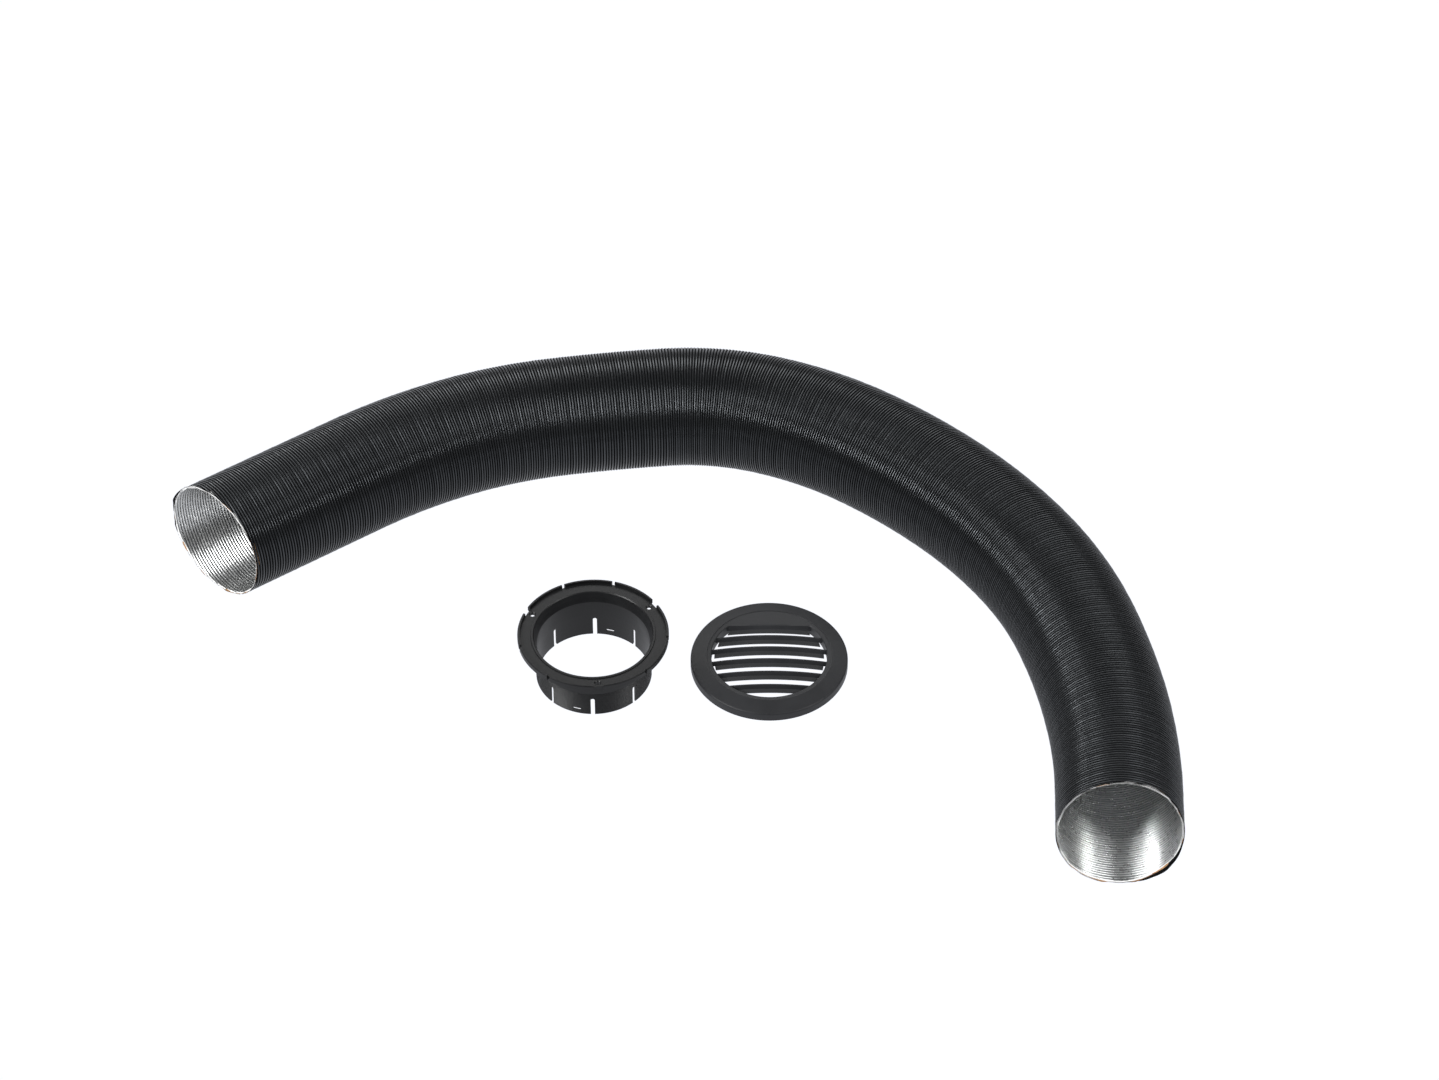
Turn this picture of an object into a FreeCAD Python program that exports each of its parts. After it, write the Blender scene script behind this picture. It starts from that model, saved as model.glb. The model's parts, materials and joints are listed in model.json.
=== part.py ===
"""Flexible warm-air duct, 90 mm bore and 1 m long, with its outlet collar and louvre grille.

The duct lies on the floor in an open curve. Its wall is three plies: a black outer jacket, a
kraft paper core and an aluminium foil liner. The wall bends anywhere along its length, so it is
laid out as twelve stiff spans. Neighbouring spans are hinged on the centreline, and a ring of
the same wall fills the space between them. The collar and the grille lie loose beside the duct.
All lengths are in millimetres and all angles in degrees.
"""
import FreeCAD, Part
import math
import os

# Duct section
BORE_R = 45.0           # inside of the foil, for a 90 mm spigot
LINER_WALL = 0.2        # foil, over the depth of its ribs
CORE_WALL = 0.3         # kraft paper
JACKET_WALL = 0.5       # black outer ply
DUCT_R = BORE_R + LINER_WALL + CORE_WALL + JACKET_WALL

# Duct route, from the left mouth to the right one, seen from above
SPAN = 83.7             # from one hinge to the next, so twelve spans are one metre
START = (-380.0, -49.0)
START_HEADING = 35.4   # of the first span, from +X
TURNS = (0.0, 11.5, 14.0, 4.5, 23.7, 16.9, 10.1, 12.3, 15.6, 8.7, 10.3)  # to the right, at each hinge
LIFT_BEND = 0           # this hinge lies level and lifts the left end; the others stand upright
LIFT_RANGE = 20.0
TIGHTER = 3.0           # how much further than at rest each upright hinge bends
FACE_GAP = 0.6          # left between two spans when their hinge is bent as far as it goes
RING_INSET = 0.15       # the bend rings stay this far inside the wall's faces

# Collar
COLLAR_AT = (-93.3, -142.5)
FLANGE_R = 56.0
FLANGE_TOP = 43.0       # above the spigot's lower edge
FLANGE_FACE = 40.8      # recessed face inside the lip
FLANGE_BACK = 38.2      # the side that lies against a panel
LIP_WALL = 1.8
SPIGOT_R = 43.0
SPIGOT_BORE_R = 41.4
SPIGOT_STRAIGHT = 20.0  # height of the plain bore
RIDGE_PITCH = 1.2
RIDGE_DEPTH = 0.25
RIDGE_COUNT = 17
RIDGES_FROM = 1.4
SLOT_COUNT = 8
SLOT_WIDTH = 3.0
SLOT_TOP = 16.5
WINDOW = (5.8, 2.4)     # width along the wall, height
WINDOW_BOTTOM = 3.4
WINDOW_ANGLES = (-106.0, 74.0)
SCREW_ANGLES = (35.0, 155.0, 275.0)
SCREW_CIRCLE_R = 50.0
SCREW_HOLE_R = 1.7
COUNTERSINK_R = 2.6
CUTOUT_WIDTH = 7.8      # gap in the lip beside each screw
SLIT_WIDTH = 2.2
SLIT_ANGLES = (75.0, 115.0, 195.0, 235.0, 315.0, 355.0)

# Grille
GRILLE_AT = (37.0, -133.3)
GRILLE_R = 58.6
SKIRT_BORE_R = 56.8     # drops over the collar's lip
SHOULDER_Z = 7.2
STEP_R = 46.4
STEP_Z = 10.2           # top of the sloping rim, at its inner edge
PANEL_Z = 9.8           # inner ring and the closed segment at the back
THROAT_R = 43.1
THROAT_WALL = 1.8
THROAT_BOTTOM = 1.6
CROWN_Z = 12.5          # top of the domed louvre field
CROWN_R = 229.0         # radius of the dome
BLADE_COUNT = 6
BLADE_PITCH = 12.4
BLADE_NOTCH_R = 41.0    # the lower leaf of each blade stops short of the throat
BARB_SPAN = 12.0        # each snap barb's length round the skirt, in degrees


def vec(x, y, z=0.0):
    return FreeCAD.Vector(x, y, z)


def heading_vector(heading):
    return vec(math.cos(math.radians(heading)), math.sin(math.radians(heading)))


def only_solid(shape):
    """The one solid in a boolean's result."""
    return shape.removeSplitter().Solids[0]


# ---------------------------------------------------------------- duct

def headings():
    """Heading of each span, in degrees."""
    found = [START_HEADING]
    for turn in TURNS:
        found.append(found[-1] - turn)
    return found


def route():
    """Both mouths and the hinge points between them, on the duct's centreline."""
    points = [vec(START[0], START[1], DUCT_R)]
    for heading in headings():
        points.append(points[-1] + heading_vector(heading) * SPAN)
    return points


def setback(bend):
    """How far from a hinge its two spans' faces stand, so that they never meet."""
    if bend == LIFT_BEND:
        widest = LIFT_RANGE
    else:
        widest = TURNS[bend] + TIGHTER
    return DUCT_R * math.tan(math.radians(widest / 2)) + FACE_GAP


def ring(outer, inner, base, direction, length):
    """A straight tube from base along direction."""
    full = Part.makeCylinder(outer, length, base, direction)
    return full.cut(Part.makeCylinder(inner, length, base, direction)).Solids[0]


def span_reach(index):
    """The span's two end faces: start point, direction and length."""
    points = route()
    direction = heading_vector(headings()[index])
    before = setback(index - 1) if index > 0 else 0.0
    after = setback(index) if index < len(TURNS) else 0.0
    return points[index] + direction * before, direction, SPAN - before - after


def span_plies(index):
    """The three plies of one span, from the outside in."""
    start, direction, length = span_reach(index)
    r_jacket = DUCT_R - JACKET_WALL
    r_core = r_jacket - CORE_WALL
    return {
        "jacket": ring(DUCT_R, r_jacket, start, direction, length),
        "paper_core": ring(r_jacket, r_core, start, direction, length),
        "foil_liner": ring(r_core, BORE_R, start, direction, length),
    }


def bend_ring(bend):
    """The wall between two spans, mitred at the hinge."""
    hinge = route()[bend + 1]
    before, after = (heading_vector(h) for h in headings()[bend:bend + 2])
    gap = setback(bend)
    outer = DUCT_R - RING_INSET
    inner = BORE_R
    if TURNS[bend] == 0.0:
        return ring(outer, inner, hinge - before * gap, before, 2 * gap)
    beyond = Part.makeCylinder(3 * DUCT_R, 3 * DUCT_R, hinge, (before + after).normalize())
    first = ring(outer, inner, hinge - before * gap, before, 2 * gap).cut(beyond)
    second = ring(outer, inner, hinge + after * gap, after * -1, 2 * gap).common(beyond)
    return only_solid(first.fuse(second))


# ---------------------------------------------------------------- collar and grille helpers

def lathe(outline, start=0.0, sweep=360.0):
    """Revolve a closed (radius, height) outline about the vertical axis."""
    corners = [vec(r, 0, z) for r, z in outline]
    face = Part.Face(Part.makePolygon(corners + corners[:1]))
    turned = face.revolve(vec(0, 0), vec(0, 0, 1), sweep)
    turned.rotate(vec(0, 0), vec(0, 0, 1), start)
    return turned


def radial_box(angle, near, far, width, bottom, top):
    """A box that points outwards at an angle, centred on its own width."""
    box = Part.makeBox(far - near, width, top - bottom, vec(near, -width / 2, bottom))
    box.rotate(vec(0, 0), vec(0, 0, 1), angle)
    return box


# ---------------------------------------------------------------- collar

def collar_body():
    """Flange, lip, funnel and ridged spigot in one turned outline."""
    outline = [(SPIGOT_BORE_R, 0.0), (SPIGOT_R - 0.6, 0.0), (SPIGOT_R, 0.8)]
    for i in range(RIDGE_COUNT):
        z = RIDGES_FROM + i * RIDGE_PITCH
        outline += [(SPIGOT_R, z), (SPIGOT_R - RIDGE_DEPTH, z + 0.2 * RIDGE_PITCH)]
        outline += [(SPIGOT_R, z + 0.7 * RIDGE_PITCH)]
    outline += [
        (SPIGOT_R, FLANGE_BACK - 4.0),
        (SPIGOT_R + 2.4, FLANGE_BACK),
        (FLANGE_R - 0.6, FLANGE_BACK),
        (FLANGE_R, FLANGE_BACK + 0.6),
        (FLANGE_R, FLANGE_TOP - 0.8),
        (FLANGE_R - 0.25, FLANGE_TOP - 0.25),
        (FLANGE_R - 0.8, FLANGE_TOP),
        (FLANGE_R - LIP_WALL, FLANGE_TOP),
        (FLANGE_R - LIP_WALL - 0.2, FLANGE_FACE),
        (46.3, FLANGE_FACE),
        (46.0, FLANGE_FACE + 0.7),
        (44.5, FLANGE_FACE + 0.7),
        (43.9, FLANGE_FACE),
        (42.9, 37.0),
        (41.7, 33.0),
        (SPIGOT_BORE_R + 0.1, 26.0),
        (SPIGOT_BORE_R, SPIGOT_STRAIGHT),
    ]
    return lathe(outline)


def spigot_slot(angle):
    """A slot up from the spigot's lower edge, round at its top."""
    near, far = SPIGOT_BORE_R - 3, SPIGOT_R + 3
    straight = SLOT_TOP - SLOT_WIDTH / 2
    cutter = Part.makeBox(far - near, SLOT_WIDTH, straight + 1, vec(near, -SLOT_WIDTH / 2, -1))
    crown = Part.makeCylinder(SLOT_WIDTH / 2, far - near, vec(near, 0, straight), vec(1, 0, 0))
    cutter = cutter.fuse(crown)
    cutter.rotate(vec(0, 0), vec(0, 0, 1), angle)
    return cutter


def screw_hole(angle):
    centre = heading_vector(angle) * SCREW_CIRCLE_R
    low = centre + vec(0, 0, FLANGE_BACK - 1)
    hole = Part.makeCylinder(SCREW_HOLE_R, FLANGE_TOP - FLANGE_BACK, low)
    depth = COUNTERSINK_R - SCREW_HOLE_R
    seat = Part.makeCone(SCREW_HOLE_R, COUNTERSINK_R, depth, centre + vec(0, 0, FLANGE_FACE - depth))
    return hole.fuse(seat)


def collar():
    """The moulded collar, standing on its spigot."""
    lip_inside = FLANGE_R - LIP_WALL - 0.4
    cutters = [spigot_slot(-90 + i * 360 / SLOT_COUNT) for i in range(SLOT_COUNT)]
    for angle in WINDOW_ANGLES:
        width, height = WINDOW
        top = WINDOW_BOTTOM + height
        cutters.append(radial_box(angle, SPIGOT_BORE_R - 3, SPIGOT_R + 3, width, WINDOW_BOTTOM, top))
    for angle in SCREW_ANGLES:
        cutters.append(screw_hole(angle))
        cutters.append(radial_box(angle, lip_inside, 60, CUTOUT_WIDTH, FLANGE_BACK - 1, FLANGE_TOP + 1))
    for angle in SLIT_ANGLES:
        cutters.append(radial_box(angle, lip_inside, 60, SLIT_WIDTH, FLANGE_BACK - 1, FLANGE_TOP + 1))
    shape = only_solid(collar_body().cut(cutters))
    shape.translate(vec(*COLLAR_AT))
    return shape


# ---------------------------------------------------------------- grille

def grille_rim():
    """Skirt, sloping rim, inner ring and throat."""
    shoulder = [
        (GRILLE_R - 1.4 * (1 - math.cos(a)), SHOULDER_Z - 1.6 * (1 - math.sin(a)))
        for a in (math.radians(15 * i) for i in range(6))
    ]
    outline = [(GRILLE_R - 0.3, 0.0), (GRILLE_R, 0.3)] + shoulder + [
        (GRILLE_R - 1.6, SHOULDER_Z + 0.1),
        (STEP_R + 0.5, STEP_Z),
        (STEP_R, STEP_Z - 0.1),
        (STEP_R - 0.2, PANEL_Z),
        (THROAT_R + 0.5, PANEL_Z),
        (THROAT_R, PANEL_Z - 0.5),
        (THROAT_R, THROAT_BOTTOM),
        (THROAT_R + THROAT_WALL, THROAT_BOTTOM),
        (THROAT_R + THROAT_WALL, PANEL_Z - 2.2),
        (SKIRT_BORE_R, SHOULDER_Z - 2.2),
        (SKIRT_BORE_R, 0.0),
    ]
    return lathe(outline)


def closed_segment():
    """The plain part of the panel behind the first blade."""
    disc = Part.makeCylinder(THROAT_R + 0.6, 1.8, vec(0, 0, PANEL_Z - 1.8))
    front = BLADE_PITCH * (BLADE_COUNT - 1) / 2 - 0.4
    return disc.common(Part.makeBox(100, 50, 20, vec(-50, front, 0)))


def leaf(y, top, outline, reach):
    """One leaf of a blade: its section in the YZ plane, swung along the dome."""
    corners = [vec(0, y + dy, top + dz) for dy, dz in outline]
    face = Part.Face(Part.makePolygon(corners + corners[:1]))
    half = math.degrees(math.asin((THROAT_R + 2) / CROWN_R))
    hub = vec(0, y, top - CROWN_R)
    face.rotate(hub, vec(0, 1, 0), -half)
    swept = face.revolve(hub, vec(0, 1, 0), 2 * half)
    return swept.common(Part.makeCylinder(reach, 30))


def blade(index):
    """A bent blade: a steep upper leaf and a flatter lower one."""
    y = BLADE_PITCH * ((BLADE_COUNT - 1) / 2 - index)
    top = CROWN_Z - y * y / (2 * CROWN_R)
    upper = [(0.5, 0.0), (-0.5, -0.15), (-1.7, -2.9), (-0.9, -3.7), (0.5, -0.9)]
    lower = [(-1.7, -2.9), (-4.2, -4.2), (-3.9, -5.2), (-0.9, -3.7)]
    return leaf(y, top, upper, THROAT_R + 0.6).fuse(leaf(y, top, lower, BLADE_NOTCH_R))


def snap_barb(angle):
    """A low barb inside the skirt that clips under the collar's lip."""
    outline = [(SKIRT_BORE_R + 0.3, 0.6), (SKIRT_BORE_R - 0.4, 1.1), (SKIRT_BORE_R + 0.3, 1.8)]
    return lathe(outline, angle - BARB_SPAN / 2, BARB_SPAN)


def grille():
    """The moulded grille, lying on its skirt."""
    additions = [closed_segment()] + [blade(i) for i in range(BLADE_COUNT)]
    additions += [snap_barb(angle) for angle in SCREW_ANGLES]
    shape = only_solid(grille_rim().fuse(additions))
    shape.translate(vec(*GRILLE_AT))
    return shape


# ---------------------------------------------------------------- whole kit

def kit():
    """Every sub-part by name, and the shift that puts the origin under the middle of the kit."""
    shapes = {}
    for index in range(len(TURNS) + 1):
        for ply, shape in span_plies(index).items():
            shapes["%s_%02d" % (ply, index + 1)] = shape
    for bend in range(len(TURNS)):
        shapes["bend_ring_%02d" % (bend + 1)] = bend_ring(bend)
    shapes["collar"] = collar()
    shapes["grille"] = grille()
    box = Part.makeCompound(list(shapes.values())).optimalBoundingBox(False, False)
    shift = vec(-(box.XMin + box.XMax) / 2, -(box.YMin + box.YMax) / 2, 0)
    for shape in shapes.values():
        shape.translate(shift)
    return shapes, shift


SHAPES, SHIFT = kit()
os.makedirs("parts", exist_ok=True)
for name, shape in SHAPES.items():
    shape.exportStep("parts/%s.step" % name)
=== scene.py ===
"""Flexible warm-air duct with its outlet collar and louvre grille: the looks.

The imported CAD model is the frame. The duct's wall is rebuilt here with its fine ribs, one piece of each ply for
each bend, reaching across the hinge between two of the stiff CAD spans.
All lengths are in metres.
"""

import json
import math
from dataclasses import dataclass

import bmesh
import bpy
import numpy as np
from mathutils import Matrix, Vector


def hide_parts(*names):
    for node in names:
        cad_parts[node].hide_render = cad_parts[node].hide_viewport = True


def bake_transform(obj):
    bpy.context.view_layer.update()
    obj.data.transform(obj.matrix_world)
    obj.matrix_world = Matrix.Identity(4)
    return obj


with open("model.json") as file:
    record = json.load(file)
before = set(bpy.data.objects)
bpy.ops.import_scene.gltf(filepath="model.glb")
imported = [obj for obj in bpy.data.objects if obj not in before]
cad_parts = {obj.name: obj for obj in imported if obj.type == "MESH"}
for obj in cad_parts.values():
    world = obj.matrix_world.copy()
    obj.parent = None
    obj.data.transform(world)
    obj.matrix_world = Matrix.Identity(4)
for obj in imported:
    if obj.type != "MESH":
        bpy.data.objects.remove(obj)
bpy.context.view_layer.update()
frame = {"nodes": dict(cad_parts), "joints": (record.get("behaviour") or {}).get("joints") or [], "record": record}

MM = 0.001

# Duct wall, from the outside in
DUCT_R = 46.0 * MM          # over the jacket's ribs
JACKET_RIB = 1.0 * MM       # depth of the ribs outside
JACKET_INSIDE = 44.95 * MM
PAPER_OUTSIDE = 44.93 * MM
PAPER_INSIDE = 44.72 * MM
FOIL_OUTSIDE = 44.70 * MM
FOIL_GROOVE = 44.64 * MM    # inner face, between its ribs
FOIL_RIB = 0.75 * MM        # height of the ribs inside
RIBS_PER_SPAN = 38
RIB_SHAPE = 0.9             # power of the sine; below 1 the crests are broader
RIB_UNEVENNESS = 0.09       # how far the lowest ribs fall short, as a share
RIB_CRUSHING = 0.10         # the same, where a stretch of ribs is crushed
RIB_SWAY = 0.22 * MM
WALL_SWELL = 0.16 * MM

# Cut ends. Each cut is slanted by so many millimetres to the left side and to the top.
SLANTS = {"left": (-1.0, 9.0, -2.1), "right": (-1.0, -0.3, -6.2)}
RAGGED = 0.5 * MM
FOIL_RAGGED = 0.3 * MM
OVERRUN = 0.2               # wall built beyond each mouth and cut back, as a share of a span
LIP_WIDTH = 1.3 * MM        # how much of the wall's end is turned out
PAPER_LIP = 0.35 * MM       # how far it is turned out
FOIL_LIP = 1.15 * MM
LIP_SHARE = 0.25            # faces turned out further than this are painted plain white as a highlight

# Mesh
STEPS_PER_RIB = 8
POINTS_ROUND = 132
MERGE = 1e-6

# Heights of the ribbed face, the plain face and the two cut ends in the texture square
RIBBED_V = (0.0, 0.86)
PLAIN_V = (0.88, 0.99)
START_V = (0.992, 0.994)
END_V = (0.997, 0.999)

AIM = (0.03717, 0.09912, 0.0)
CAMERA_DISTANCE = 3.6595
CAMERA_ELEVATION = 44.0
CAMERA_LENS = 119.6
CAMERA_SENSOR = 36.0

# Floor and light. Each surface has one strength for lighting and one for the camera's view.
FLOOR_HALF = 6.0
FLOOR_DROP = 0.2 * MM
FLOOR_COLOUR = (0.985, 1.0, 1.05, 1)
FLOOR_STRENGTH = (0.85, 1.02)
WORLD_STRENGTH = (0.2, 1.02)
LIGHT_DISTANCE = 2.6
LIGHTS = [
    # name, elevation, azimuth (0 in front, 90 on the right), width, height, radiance
    ("key_left", 31, -60, 1.1, 0.6, 21.0),
    ("key_above", 56, -62, 1.2, 0.9, 6.5),
    ("fill_right", 31, 62, 0.9, 0.5, 13.0),
    ("fill_above", 56, 62, 1.2, 0.9, 4.0),
    ("back_left", 19, -138, 0.8, 0.6, 6.0),
    ("back_soft", 36, 180, 3.6, 0.9, 2.7),
]


# ------------------------------------------------------------------ helpers

def link(thing):
    bpy.context.scene.collection.objects.link(thing)


def mesh_object(name, points, faces, uvs, material):
    """A smooth mesh object; uvs holds one pair for each face corner, in order."""
    mesh = bpy.data.meshes.new(name)
    mesh.from_pydata(points.tolist(), [], faces)
    layer = mesh.uv_layers.new(name="OFBake")
    layer.data.foreach_set("uv", np.asarray(uvs, np.float32).ravel())
    mesh.polygons.foreach_set("use_smooth", np.ones(len(mesh.polygons), bool))
    mesh.materials.append(material)
    piece = bpy.data.objects.new(name, mesh)
    link(piece)
    return piece


def weld(piece, grooves):
    """Merge points that a cut has pushed together, and make the edges along the grooves sharp."""
    work = bmesh.new()
    work.from_mesh(piece.data)
    work.verts.ensure_lookup_table()
    grooves = set(grooves)
    for edge in work.edges:
        edge.smooth = not all(v.index in grooves for v in edge.verts)
    bmesh.ops.remove_doubles(work, verts=work.verts, dist=MERGE)
    bmesh.ops.dissolve_degenerate(work, edges=work.edges, dist=MERGE)
    bmesh.ops.recalc_face_normals(work, faces=work.faces)
    work.to_mesh(piece.data)
    work.free()


def wander(x, seed, *lengths):
    """A smooth, repeatable wavy value of about -1 to 1 for each x."""
    total = np.zeros_like(x, dtype=float)
    for i, length in enumerate(lengths):
        phase = 1.7 * seed + 2.3 * i
        total += np.sin(2 * math.pi * x / length + phase) / (i + 1)
    return total / sum(1 / (i + 1) for i in range(len(lengths)))


# ------------------------------------------------------------------ camera

def make_camera():
    data = bpy.data.cameras.new("camera")
    data.lens = CAMERA_LENS
    data.sensor_width = CAMERA_SENSOR
    camera = bpy.data.objects.new("camera", data)
    link(camera)
    elevation = math.radians(CAMERA_ELEVATION)
    offset = Vector((0, -math.cos(elevation), math.sin(elevation)))
    camera.location = Vector(AIM) + CAMERA_DISTANCE * offset
    camera.rotation_euler = (math.pi / 2 - elevation, 0, 0)
    bpy.context.scene.camera = camera


# ------------------------------------------------------------------ materials

def new_material(name):
    """A material, its node tree and its main shader."""
    material = bpy.data.materials.new(name)
    material.use_nodes = True
    tree = material.node_tree
    return material, tree, tree.nodes["Principled BSDF"]


def noise(tree, scale, detail=2.0, roughness=0.5):
    """A noise texture in the piece's own coordinates."""
    place = tree.nodes.new("ShaderNodeTexCoord")
    texture = tree.nodes.new("ShaderNodeTexNoise")
    texture.inputs["Scale"].default_value = scale
    texture.inputs["Detail"].default_value = detail
    texture.inputs["Roughness"].default_value = roughness
    tree.links.new(place.outputs["Object"], texture.inputs["Vector"])
    return texture.outputs["Fac"]


def ramp(tree, source, stops):
    """A colour ramp of (position, colour) stops; a number stands for a grey."""
    node = tree.nodes.new("ShaderNodeValToRGB")
    elements = node.color_ramp.elements
    while len(elements) < len(stops):
        elements.new(0.5)
    for element, (position, colour) in zip(elements, stops):
        if isinstance(colour, (int, float)):
            colour = (colour, colour, colour)
        element.position = position
        element.color = (*colour, 1)
    tree.links.new(source, node.inputs["Fac"])
    return node.outputs["Color"]


def bump(tree, height, strength, distance, below=None):
    """A bumped normal, on top of the one below if that is given."""
    node = tree.nodes.new("ShaderNodeBump")
    node.inputs["Strength"].default_value = strength
    node.inputs["Distance"].default_value = distance
    tree.links.new(height, node.inputs["Height"])
    if below:
        tree.links.new(below, node.inputs["Normal"])
    return node.outputs["Normal"]


def crest_height(tree):
    """How far up a rib a point lies, from 0 in the groove to 1 on the crest."""
    node = tree.nodes.new("ShaderNodeAttribute")
    node.attribute_name = "crest"
    return node.outputs["Fac"]


def jacket_material():
    """Black plastic film with specks of dust; its reflection is turned down in the grooves as painted shade, and
    the crests shine.
    """
    material, tree, shader = new_material("jacket_film")
    blacks = [(0.3, (0.0045, 0.0047, 0.0052)), (0.7, (0.0075, 0.0079, 0.0086))]
    dust = ramp(tree, noise(tree, 1100, 1), [(0.79, 0.0), (0.83, 0.35)])
    dusted = tree.nodes.new("ShaderNodeMix")
    dusted.data_type = "RGBA"
    dusted.inputs["B"].default_value = (0.16, 0.155, 0.14, 1)
    tree.links.new(dust, dusted.inputs["Factor"])
    tree.links.new(ramp(tree, noise(tree, 60, 3), blacks), dusted.inputs["A"])
    tree.links.new(dusted.outputs["Result"], shader.inputs["Base Color"])
    height = crest_height(tree)
    roughness = ramp(tree, height, [(0.5, 0.6), (0.9, 0.2)])
    # Painted shade: the film reflects least down in its grooves and most on its crests.
    painted_groove_shade_gloss = ramp(tree, height, [(0.45, 0.02), (0.7, 0.2), (0.95, 0.9)])
    scuffs = bump(tree, noise(tree, 900, 2), 0.10, 0.3 * MM)
    tree.links.new(roughness, shader.inputs["Roughness"])
    tree.links.new(painted_groove_shade_gloss, shader.inputs["Specular IOR Level"])
    tree.links.new(scuffs, shader.inputs["Normal"])
    shader.inputs["Specular Tint"].default_value = (0.88, 0.94, 1.0, 1)
    return material


def foil_material():
    """Bright aluminium foil with fine creases; its colour is darkened in its grooves as painted shade."""
    material, tree, shader = new_material("aluminium_foil")
    # Painted shade: the foil's colour is darkest down in its grooves and brightest on its crests.
    painted_groove_shades = [(0.0, (0.24, 0.245, 0.245)), (0.5, (0.57, 0.58, 0.58)), (1.0, (0.90, 0.90, 0.89))]
    roughness = ramp(tree, noise(tree, 300, 3), [(0.3, 0.25), (0.7, 0.34)])
    creases = bump(tree, noise(tree, 500, 3, 0.6), 0.14, 0.6 * MM)
    grain = bump(tree, noise(tree, 1500, 2), 0.14, 0.2 * MM, creases)
    tree.links.new(ramp(tree, crest_height(tree), painted_groove_shades), shader.inputs["Base Color"])
    tree.links.new(roughness, shader.inputs["Roughness"])
    tree.links.new(grain, shader.inputs["Normal"])
    shader.inputs["Metallic"].default_value = 1.0
    return material


def painted_highlight_edge_material():
    """The foil's cut edge, creased, painted plain white as a highlight where it is turned out."""
    material, _, shader = new_material("foil_edge")
    # Painted highlight: the turned-out foil is coloured plain white where it shines.
    shader.inputs["Base Color"].default_value = (0.95, 0.95, 0.94, 1)
    shader.inputs["Roughness"].default_value = 0.5
    return material


def paper_material():
    """Brown kraft paper with short fibres."""
    material, tree, shader = new_material("kraft_paper")
    fibres = noise(tree, 700, 4, 0.7)
    browns = [(0.3, (0.30, 0.155, 0.065)), (0.7, (0.62, 0.36, 0.17))]
    tree.links.new(ramp(tree, fibres, browns), shader.inputs["Base Color"])
    tree.links.new(bump(tree, fibres, 0.4, 0.4 * MM), shader.inputs["Normal"])
    shader.inputs["Roughness"].default_value = 0.9
    return material


def moulding_material(name, blacks, roughness, grain_scale):
    """Moulded black plastic with a fine eroded grain."""
    material, tree, shader = new_material(name)
    cloud = noise(tree, 45, 3)
    base = ramp(tree, cloud, list(zip((0.3, 0.7), blacks)))
    rough = ramp(tree, cloud, list(zip((0.3, 0.7), roughness)))
    grain = bump(tree, noise(tree, grain_scale, 2), 0.17, 0.2 * MM)
    tree.links.new(base, shader.inputs["Base Color"])
    tree.links.new(rough, shader.inputs["Roughness"])
    tree.links.new(grain, shader.inputs["Normal"])
    shader.inputs["Specular IOR Level"].default_value = 0.3
    return material


# ------------------------------------------------------------------ duct route

class Bend:
    """One bend of the duct, with half a span on each side of its hinge."""

    def __init__(self, index, before, hinge, after):
        self.index = index
        self.hinge = hinge
        self.first = (hinge + before) / 2
        self.last = (hinge + after) / 2
        self.arm = (hinge - before).length / 2
        start = (hinge - before).normalized()
        end = (after - hinge).normalized()
        self.heading = math.atan2(start.y, start.x)
        self.turn = math.atan2(start.cross(end).z, start.dot(end))
        self.tangent = (start + end).normalized()

    def place(self, share):
        """Centre and heading of the duct at a share of the way through the bend.

        Between 0 and 1 the centreline is an arc, and beyond them it runs on straight.
        """
        inside = np.clip(share, 0, 1)
        heading = self.heading + self.turn * inside
        if abs(self.turn) < 1e-6:
            length = 2 * self.arm * inside
            x = self.first.x + length * math.cos(self.heading)
            y = self.first.y + length * math.sin(self.heading)
        else:
            radius = self.arm / math.tan(self.turn / 2)
            x = self.first.x + radius * (np.sin(heading) - math.sin(self.heading))
            y = self.first.y - radius * (np.cos(heading) - math.cos(self.heading))
        beyond = (share - inside) * 2 * self.arm
        return x + beyond * np.cos(heading), y + beyond * np.sin(heading), heading


def read_bends():
    """The duct's bends, from the frame's hinges and the directions of its two mouths."""
    outwards = {m["name"]: Vector(m["axis"]) for m in frame["record"]["mounts"]}
    hinges = [Vector(j["pos_m"]) for j in BEND_JOINTS]
    left = hinges[0] + outwards["duct_mouth_left"] * (hinges[0] - hinges[1]).length
    right = hinges[-1] + outwards["duct_mouth_right"] * (hinges[-1] - hinges[-2]).length
    points = [left] + hinges + [right]
    return [Bend(i, *points[i:i + 3]) for i in range(len(hinges))]


BEND_JOINTS = [j for j in frame["joints"] if j.get("deforming_nodes")]
BENDS = read_bends()
LAST = len(BENDS) - 1


# ------------------------------------------------------------------ duct wall
# Angles run round the wall: 0 is to the left of the way from the left mouth to the right one,
# and a quarter turn is up. Turns count the ribs along the wall.

def rib_height(turns):
    """0 in a groove and up to 1 on a crest: grooves are sharp, and no two ribs are alike."""
    level = 1 - RIB_UNEVENNESS * (1 - wander(np.floor(turns), 11, 2.62, 3.71, 9.3))
    return level * np.abs(np.sin(math.pi * turns)) ** RIB_SHAPE


def rib_strength(along, angle, seed):
    """Ribs are crushed a little here and there."""
    rough = wander(along, seed, 0.0171, 0.0093, 0.0057) * np.cos(3 * angle + along * 40)
    return 1 - RIB_CRUSHING * (1 + rough)


def sway(along, angle):
    """How far a rib wanders along the duct."""
    tilt = wander(along, 1, 0.41, 0.17, 0.077) * np.cos(angle - 1)
    return RIB_SWAY * (tilt + wander(along, 7, 0.29, 0.058))


def swell(along, angle):
    """How far the whole wall stands in or out of true."""
    return WALL_SWELL * (wander(along, 3, 0.31, 0.083, 0.037) * np.cos(2 * angle) - 0.6)


def slant(mouth, angle):
    """How far the middle of the cut stands out past the CAD's end."""
    base, left, top = SLANTS[mouth]
    return (base + left * np.cos(angle) + top * np.sin(angle)) * MM


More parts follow.
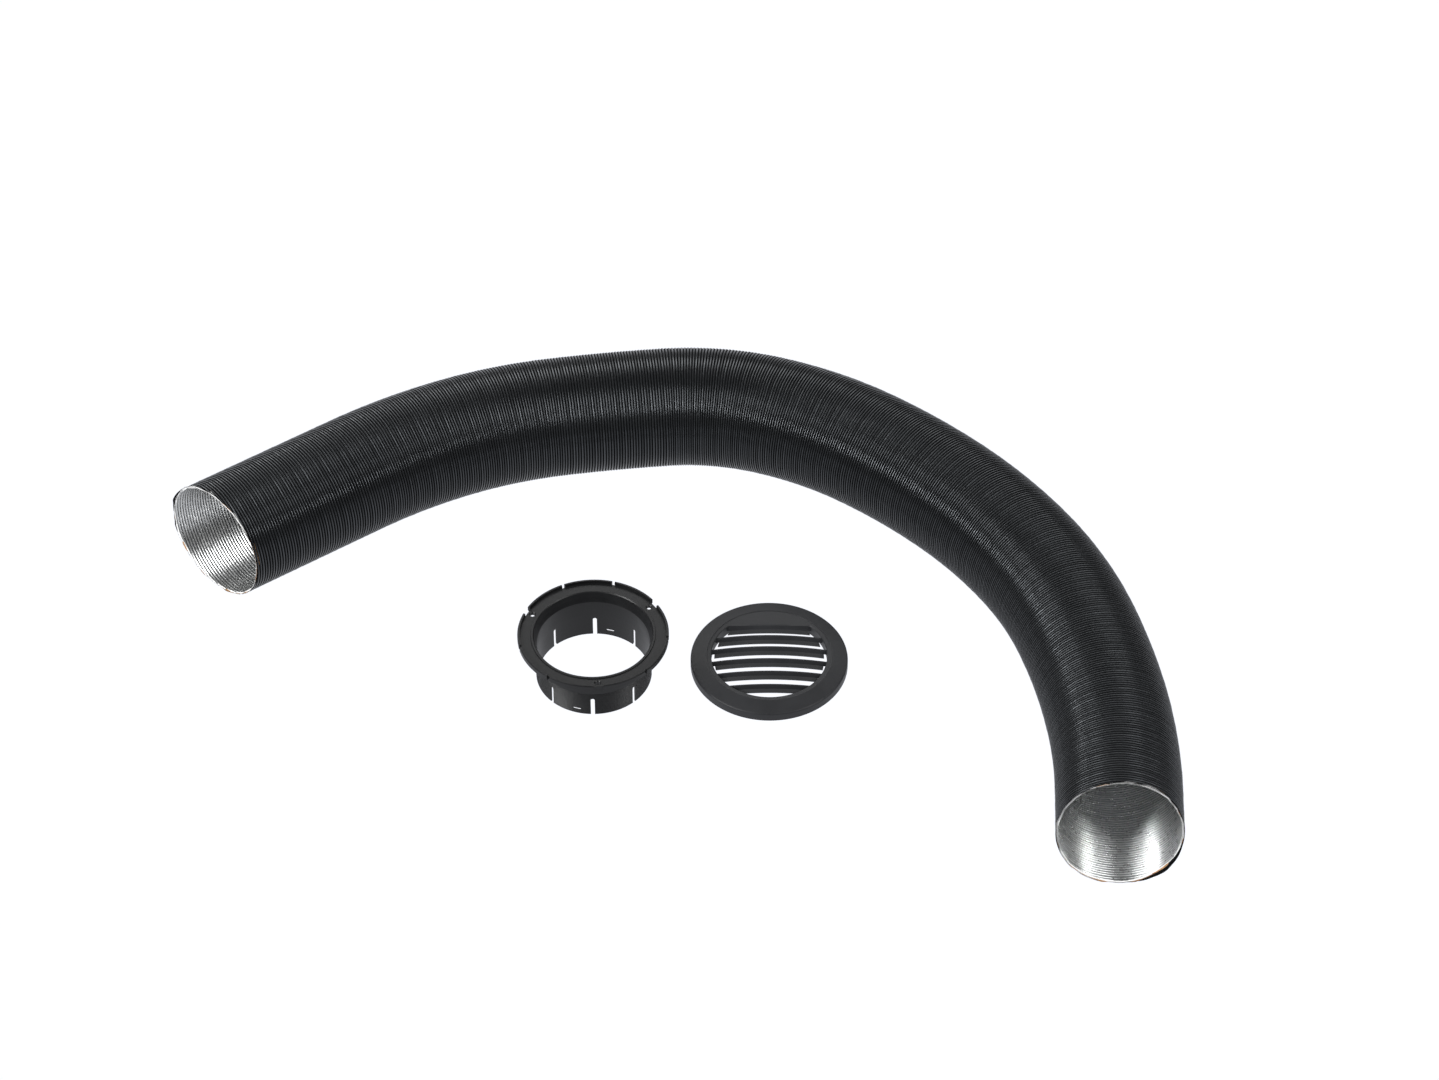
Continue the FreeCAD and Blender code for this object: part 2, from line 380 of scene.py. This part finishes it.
def ragged(angle, seed, amount):
    """The wandering and the small nicks of a hand-cut edge."""
    turn = angle / (2 * math.pi)
    steps = (3 * turn + 0.13 * seed) % 1 + 0.6 * ((7 * turn + 0.4 * seed) % 1) - 0.8
    nicks = wander(turn, seed + 4, 1 / 17, 1 / 31, 1 / 47)
    return amount * (0.5 * wander(turn, seed, 1 / 3, 1 / 7) + 0.9 * steps + 0.5 * nicks)


def tongue(angle, middle, half_width):
    """1 at an angle in degrees, and 0 from the half width on."""
    away = np.abs((np.degrees(angle) - middle + 180) % 360 - 180)
    return np.clip(1 - away / half_width, 0, 1)


def jacket_edge(mouth, angle):
    """The jacket has two small flaps at the left mouth and a broad one low on the right mouth."""
    if mouth == "left":
        flaps = 2.2 * tongue(angle, 20, 24) + 1.2 * tongue(angle, -14, 12) - 0.6
    else:
        flaps = 3.6 * tongue(angle, -42, 40) - 0.7
    return ragged(angle, 1, RAGGED) + flaps * MM


def paper_edge(_, angle):
    """Bits of paper stick out past the other plies, most of all at the bottom."""
    low = 0.5 * tongue(angle, -90, 80)
    bits = np.clip(wander(angle / (2 * math.pi), 9, 1 / 11, 1 / 23, 1 / 41), 0, 1)
    return ragged(angle, 1, RAGGED) + (1.3 * bits * (0.35 + low) - 0.5 + low) * MM


def foil_edge(mouth, angle):
    """The foil has nicks of its own, and stays back inside the right mouth's flap."""
    held_back = 1.4 * tongue(angle, -42, 40) if mouth == "right" else 0.0
    return ragged(angle, 1, RAGGED) + ragged(angle, 3, FOIL_RAGGED) - held_back * MM


@dataclass
class Ply:
    """One ply of the wall: a ribbed face, a plain face, and ends cut in their own way."""

    name: str
    material: object
    radius: float           # the largest one of the ribbed face
    rib: float
    plain: float            # radius of the plain face
    ribs_out: bool
    crush_seed: int
    edge: object
    lip: float = 0.0
    lip_highlight_material: object = None

    def faces(self, turns, angle, along):
        """Radii of the ribbed and the plain face."""
        height = rib_height(turns) * rib_strength(along, angle, self.crush_seed)
        uneven = swell(along, angle)
        ribbed = self.radius - self.rib * ((1 - height) if self.ribs_out else height)
        return ribbed + uneven, np.full_like(ribbed, self.plain) + uneven


def band(near, far, low, high, flip):
    """Faces and texture corners between two rings, each given by its first point."""
    j = np.arange(POINTS_ROUND)
    k = (j + 1) % POINTS_ROUND
    ring = [near + j, near + k, far + k, far + j]
    corners = [(j, low), (j + 1, low), (j + 1, high), (j, high)]
    corners = [np.stack([u / POINTS_ROUND, np.full(POINTS_ROUND, v)], -1) for u, v in corners]
    if flip:
        ring.reverse()
        corners.reverse()
    return np.stack(ring, -1), np.stack(corners, 1)


def tube_object(name, ribbed, plain, material):
    """A closed tube wall between two grids of points, which may differ in their rows."""
    bands = []
    grids = [(0, len(ribbed), RIBBED_V, False), (len(ribbed), len(plain), PLAIN_V, True)]
    for first, count, limits, flip in grids:
        heights = np.linspace(*limits, count // POINTS_ROUND)
        for i in range(len(heights) - 1):
            near = first + i * POINTS_ROUND
            bands.append(band(near, near + POINTS_ROUND, heights[i], heights[i + 1], flip))
    end = len(ribbed) - POINTS_ROUND
    bands.append(band(0, len(ribbed), *START_V, True))
    bands.append(band(end, end + len(plain), *END_V, False))
    faces = np.concatenate([faces for faces, _ in bands]).tolist()
    uvs = np.concatenate([corners for _, corners in bands])
    return mesh_object(name, np.concatenate([ribbed, plain]), faces, uvs, material)


def ply_face(ply, bend, share, side):
    """One face of a ply: its points row by row, how far each is turned out, and its rib height.

    share holds the rows as shares of the bend; side is 0 for the ribbed face and 1 for the plain.
    """
    span = 2 * bend.arm
    angle = 2 * math.pi * np.arange(POINTS_ROUND) / POINTS_ROUND - math.pi / 2
    grid, around = np.meshgrid(share, angle, indexing="ij")
    turns = grid * RIBS_PER_SPAN
    along = (bend.index + grid) * span
    grid = grid + sway(along, around) / span
    from_edge = np.full_like(grid, span)
    if bend.index == 0:
        edge = -0.5 - (slant("left", around) + ply.edge("left", around)) / span
        grid = np.maximum(grid, edge)
        from_edge = (grid - edge) * span
    if bend.index == LAST:
        edge = 1.5 + (slant("right", around) + ply.edge("right", around)) / span
        grid = np.minimum(grid, edge)
        from_edge = (edge - grid) * span
    lip = np.clip(1 - from_edge / LIP_WIDTH, 0, 1)
    crumple = wander(around / (2 * math.pi), 6, 1 / 4, 1 / 9, 1 / 21)
    turned_out = lip ** 2 * ply.lip * np.clip(0.75 + 0.9 * crumple, 0.1, 1.4)
    radius = ply.faces(turns, around, along)[side] + turned_out
    x, y, heading = bend.place(grid)
    across = radius * np.cos(around)
    up = DUCT_R + radius * np.sin(around)
    points = [x - np.sin(heading) * across, y + np.cos(heading) * across, up]
    return np.stack(points, axis=-1).reshape(-1, 3), lip.ravel(), rib_height(turns).ravel()


def mark_lip(piece, lip, material):
    """Give the turned-out edge of a mouth its own material, plain white as a painted highlight."""
    piece.data.materials.append(material)
    for face in piece.data.polygons:
        if lip[list(face.vertices)].mean() > LIP_SHARE:
            face.material_index = 1


def build_ply(ply, bend):
    """One bend's length of a ply, from mid-span to mid-span or out to a mouth."""
    steps = RIBS_PER_SPAN * STEPS_PER_RIB
    first = -0.5 - OVERRUN if bend.index == 0 else 0.0
    last = 1.5 + OVERRUN if bend.index == LAST else 1.0
    rows = np.arange(round(first * steps), round(last * steps) + 1)
    every_other_rib = rows % (2 * STEPS_PER_RIB) == 0
    sparse = rows[every_other_rib | (rows == rows[0]) | (rows == rows[-1])]
    fine = rows if ply.rib else sparse
    ribbed, ribbed_lip, crest = ply_face(ply, bend, fine / steps, 0)
    plain, plain_lip, _ = ply_face(ply, bend, sparse / steps, 1)
    piece = tube_object("%s_bend_%02d" % (ply.name, bend.index + 1), ribbed, plain, ply.material)
    heights = np.concatenate([crest, np.zeros(len(plain))]).astype(np.float32)
    piece.data.attributes.new("crest", "FLOAT", "POINT").data.foreach_set("value", heights)
    if ply.lip_highlight_material:
        mark_lip(piece, np.concatenate([ribbed_lip, plain_lip]), ply.lip_highlight_material)
    grooves = [i for i, row in enumerate(fine) if ply.rib and row % STEPS_PER_RIB == 0]
    weld(piece, [i * POINTS_ROUND + k for i in grooves for k in range(POINTS_ROUND)])
    return piece


def place_ply(piece, nodes):
    """Bake the piece's transform and let it stand for the CAD's nodes, which are hidden."""
    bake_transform(piece)
    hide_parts(*nodes)


def build_duct():
    jacket, paper, foil = jacket_material(), paper_material(), foil_material()
    plies = [
        Ply("jacket", jacket, DUCT_R, JACKET_RIB, JACKET_INSIDE, True, 2, jacket_edge),
        Ply("paper_core", paper, PAPER_OUTSIDE, 0.0, PAPER_INSIDE, True, 2, paper_edge, PAPER_LIP),
        Ply("foil_liner", foil, FOIL_GROOVE, FOIL_RIB, FOIL_OUTSIDE, False, 5, foil_edge, FOIL_LIP,
            painted_highlight_edge_material()),
    ]
    for bend in BENDS:
        number = bend.index + 1
        spans = [number, number + 1] if bend.index == LAST else [number]
        for ply in plies:
            nodes = ["%s_%02d" % (ply.name, span) for span in spans]
            if ply.name == "jacket":
                nodes.append("bend_ring_%02d" % number)
            place_ply(build_ply(ply, bend), nodes)


# ------------------------------------------------------------------ collar and grille

def dress(node, material):
    mesh = frame["nodes"][node].data
    mesh.materials.clear()
    mesh.materials.append(material)


def dress_mouldings():
    """The collar is a little blacker and smoother than the grille."""
    collar_blacks = [(0.006, 0.0062, 0.0068), (0.009, 0.0093, 0.010)]
    grille_blacks = [(0.017, 0.0176, 0.0195), (0.022, 0.0228, 0.025)]
    dress("collar", moulding_material("collar_plastic", collar_blacks, (0.34, 0.44), 1600))
    dress("grille", moulding_material("grille_plastic", grille_blacks, (0.42, 0.5), 1900))


# ------------------------------------------------------------------ floor and light

def split_strength(tree, socket, lighting, seen):
    path = tree.nodes.new("ShaderNodeLightPath")
    strength = tree.nodes.new("ShaderNodeMapRange")
    strength.inputs["To Min"].default_value = lighting
    strength.inputs["To Max"].default_value = seen
    tree.links.new(path.outputs["Is Camera Ray"], strength.inputs["Value"])
    tree.links.new(strength.outputs["Result"], socket)


def make_floor():
    mesh = bpy.data.meshes.new("floor")
    corners = [(-1, -1), (1, -1), (1, 1), (-1, 1)]
    points = [(x * FLOOR_HALF, y * FLOOR_HALF, 0) for x, y in corners]
    mesh.from_pydata(points, [], [(0, 1, 2, 3)])
    material, tree, shader = new_material("lit_table")
    shader.inputs["Base Color"].default_value = (0, 0, 0, 1)
    shader.inputs["Specular IOR Level"].default_value = 0
    shader.inputs["Emission Color"].default_value = FLOOR_COLOUR
    split_strength(tree, shader.inputs["Emission Strength"], *FLOOR_STRENGTH)
    mesh.materials.append(material)
    floor = bpy.data.objects.new("floor", mesh)
    floor.location.z = -FLOOR_DROP
    link(floor)


def make_world():
    world = bpy.data.worlds.new("studio")
    world.use_nodes = True
    background = world.node_tree.nodes["Background"]
    background.inputs["Color"].default_value = (1, 1, 1, 1)
    split_strength(world.node_tree, background.inputs["Strength"], *WORLD_STRENGTH)
    bpy.context.scene.world = world


def make_light(name, elevation, azimuth, width, height, radiance):
    up, turn = math.radians(elevation), math.radians(azimuth)
    way = Vector((math.sin(turn) * math.cos(up), -math.cos(turn) * math.cos(up), math.sin(up)))
    data = bpy.data.lights.new(name, "AREA")
    data.shape = "RECTANGLE"
    data.size = width
    data.size_y = height
    data.energy = radiance * math.pi * width * height
    light = bpy.data.objects.new(name, data)
    light.location = way * LIGHT_DISTANCE
    light.rotation_euler = way.to_track_quat("Z", "Y").to_euler()
    light.visible_camera = False
    link(light)


make_camera()
build_duct()
dress_mouldings()
make_floor()
make_world()
for light in LIGHTS:
    make_light(*light)
bpy.context.scene.view_settings.view_transform = "Standard"
